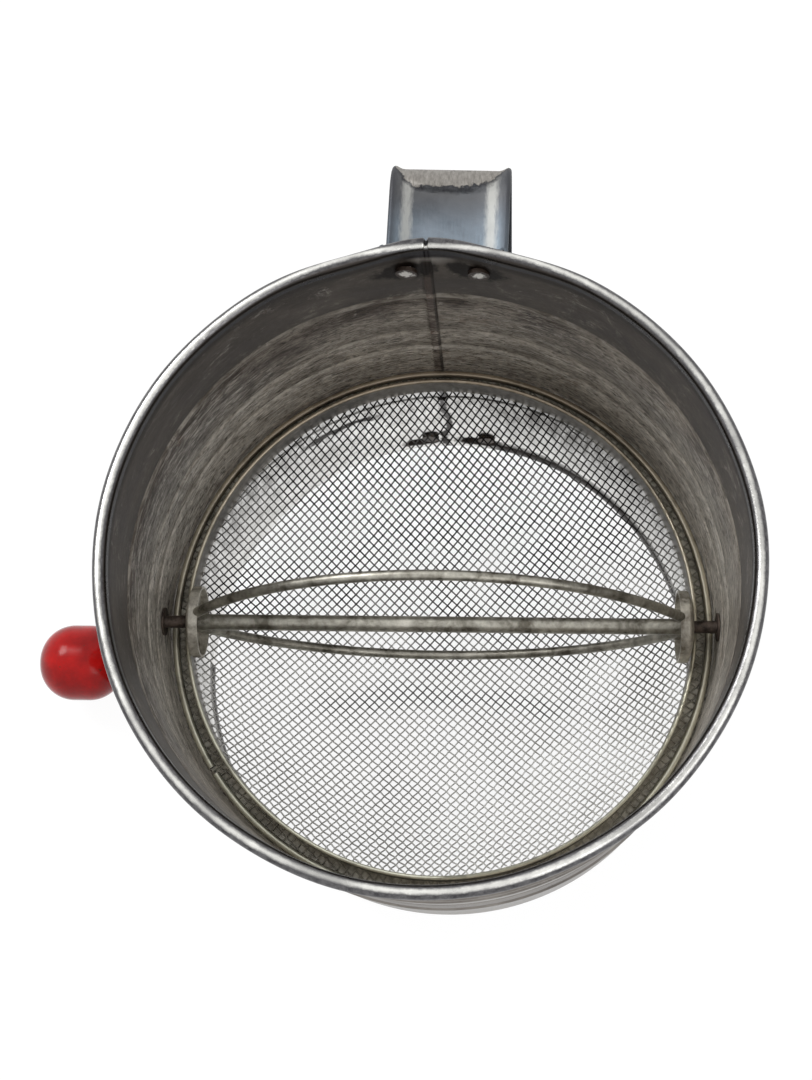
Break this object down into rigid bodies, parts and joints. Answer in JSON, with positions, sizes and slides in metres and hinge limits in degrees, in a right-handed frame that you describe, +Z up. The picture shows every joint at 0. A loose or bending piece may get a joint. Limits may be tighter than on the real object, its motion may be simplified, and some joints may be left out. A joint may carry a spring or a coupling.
{
  "type": "flour sifter",
  "caption": "Hand-crank flour sifter: round tinned can with rolled rim, strap handle, dished wire sieve and a cranked wire agitator with a round knob.",
  "frame": {"origin": "centre of the can's bottom edge, on the can's axis", "axes": "+Z up along the can's axis; +X along the crank shaft away from the knob; +Y towards the strap handle"},
  "size_m": [0.1821, 0.1716, 0.132],
  "materials": {
    "can_tin": "tarnished tinplate, satin",
    "handle_tin": "tarnished tinplate, satin",
    "rivet_steel": "dull with light rust",
    "sieve_wire": "dull grey wire",
    "ring_tin": "worn tinplate",
    "agitator_tin": "worn tinned wire",
    "dark_steel": "dark worn steel",
    "knob_paint": "gloss red enamel on turned wood, worn"
  },
  "bodies": {
    "can": {"can_body": "can_tin", "rim_wire": "can_tin", "handle_strap": "handle_tin", "upper_handle_rivets": "rivet_steel", "lower_handle_rivets": "rivet_steel", "screen_cloth": "sieve_wire", "screen_inner_ring": "ring_tin", "screen_outer_ring": "ring_tin", "left_eyelet": "dark_steel", "right_eyelet": "dark_steel"},
    "crank": {"crank_rod": "dark_steel", "crank_washer": "dark_steel", "end_washer": "dark_steel", "agitator_tube": "agitator_tin", "left_end_cup": "agitator_tin", "right_end_cup": "agitator_tin", "upper_hoop": "agitator_tin", "lower_hoop": "agitator_tin", "knob_washer": "dark_steel"},
    "knob": {"knob": "knob_paint"}
  },
  "joints": [
    {"name": "crank_turn", "type": "hinge", "parent": "can", "child": "crank", "pos_m": [0, -0.002, 0.0703], "axis": [1, 0, 0], "continuous": true},
    {"name": "knob_spin", "type": "hinge", "parent": "crank", "child": "knob", "pos_m": [-0.101, -0.002, 0.0143], "axis": [1, 0, 0], "continuous": true}
  ]
}
